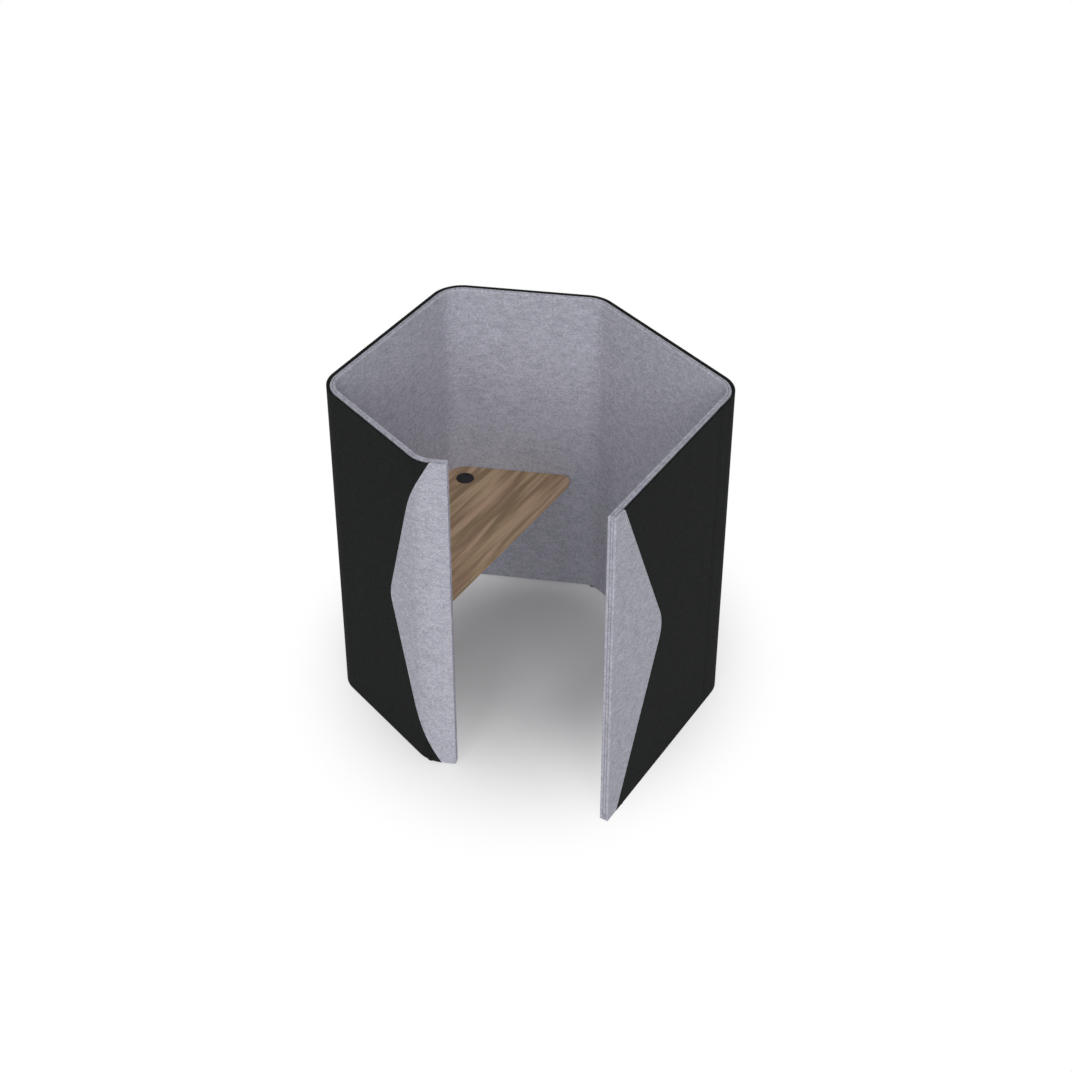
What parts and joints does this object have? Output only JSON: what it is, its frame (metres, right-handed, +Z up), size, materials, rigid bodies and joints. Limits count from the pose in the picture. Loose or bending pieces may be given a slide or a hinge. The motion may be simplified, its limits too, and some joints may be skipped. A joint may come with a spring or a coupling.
{
  "type": "acoustic office pod",
  "caption": "Free-standing acoustic office pod: a tall felt wall bent round a hexagonal plan, open at the front, with a worktop across one corner, on low glide feet.",
  "frame": {"origin": "centre of the pod's outline in plan, on the floor under the feet", "axes": "+X along the back wall, to the right for someone who looks in at the entrance; +Y from the entrance to the back wall; +Z up"},
  "size_m": [1.8902, 1.8331, 1.808],
  "materials": {
    "felt_black": "plain matt black wool felt",
    "felt_grey": "mottled mid-grey melange felt",
    "felt_core": "stiff grey felt board with cut edges",
    "walnut_board": "matt brown walnut with straight grain",
    "walnut_edge": "matt brown walnut edge",
    "zinc_plate": "dull zinc plating",
    "screw_steel": "bright zinc-plated steel",
    "bracket_black": "fine black powder coat",
    "foot_plastic": "black moulded plastic",
    "grommet_plastic": "black moulded plastic, finely grained"
  },
  "bodies": {
    "pod": {"shell_left": "felt_black", "shell_back": "felt_black", "shell_right": "felt_black", "shell_entrance": "felt_black", "core_left": "felt_core", "core_back": "felt_core", "core_right": "felt_core", "core_entrance": "felt_core", "lining_left": "felt_grey", "lining_back": "felt_grey", "lining_right": "felt_grey", "lining_entrance": "felt_grey", "facing_left": "felt_grey", "facing_right": "felt_grey", "batten_inner_left": "felt_grey", "batten_inner_back": "felt_grey", "batten_inner_right": "felt_grey", "batten_outer_left": "felt_black", "batten_outer_back": "felt_black", "batten_outer_right": "felt_black", "connector_plates_left": "zinc_plate", "connector_plates_back": "zinc_plate", "connector_plates_right": "zinc_plate", "connector_screws": "screw_steel", "foot_inserts": "zinc_plate", "foot_pad_left_front": "foot_plastic", "foot_pad_left": "foot_plastic", "foot_pad_desk": "foot_plastic", "foot_pad_back": "foot_plastic", "foot_pad_right": "foot_plastic", "foot_pad_entrance": "foot_plastic", "foot_screws": "screw_steel", "worktop_board": "walnut_board", "worktop_edge_band": "walnut_edge", "bracket_left": "bracket_black", "bracket_rear_left": "bracket_black", "bracket_rear_right": "bracket_black", "bracket_back": "bracket_black", "bracket_wall_screws": "screw_steel", "bracket_top_screws": "screw_steel", "grommet_sleeve": "grommet_plastic"},
    "grommet_cap": {"grommet_cap": "grommet_plastic"}
  },
  "joints": [
    {"name": "grommet_cap_turn", "type": "hinge", "parent": "pod", "child": "grommet_cap", "pos_m": [-0.46334, 0.75984, 0.73], "axis": [0, 0, 1], "continuous": true}
  ]
}
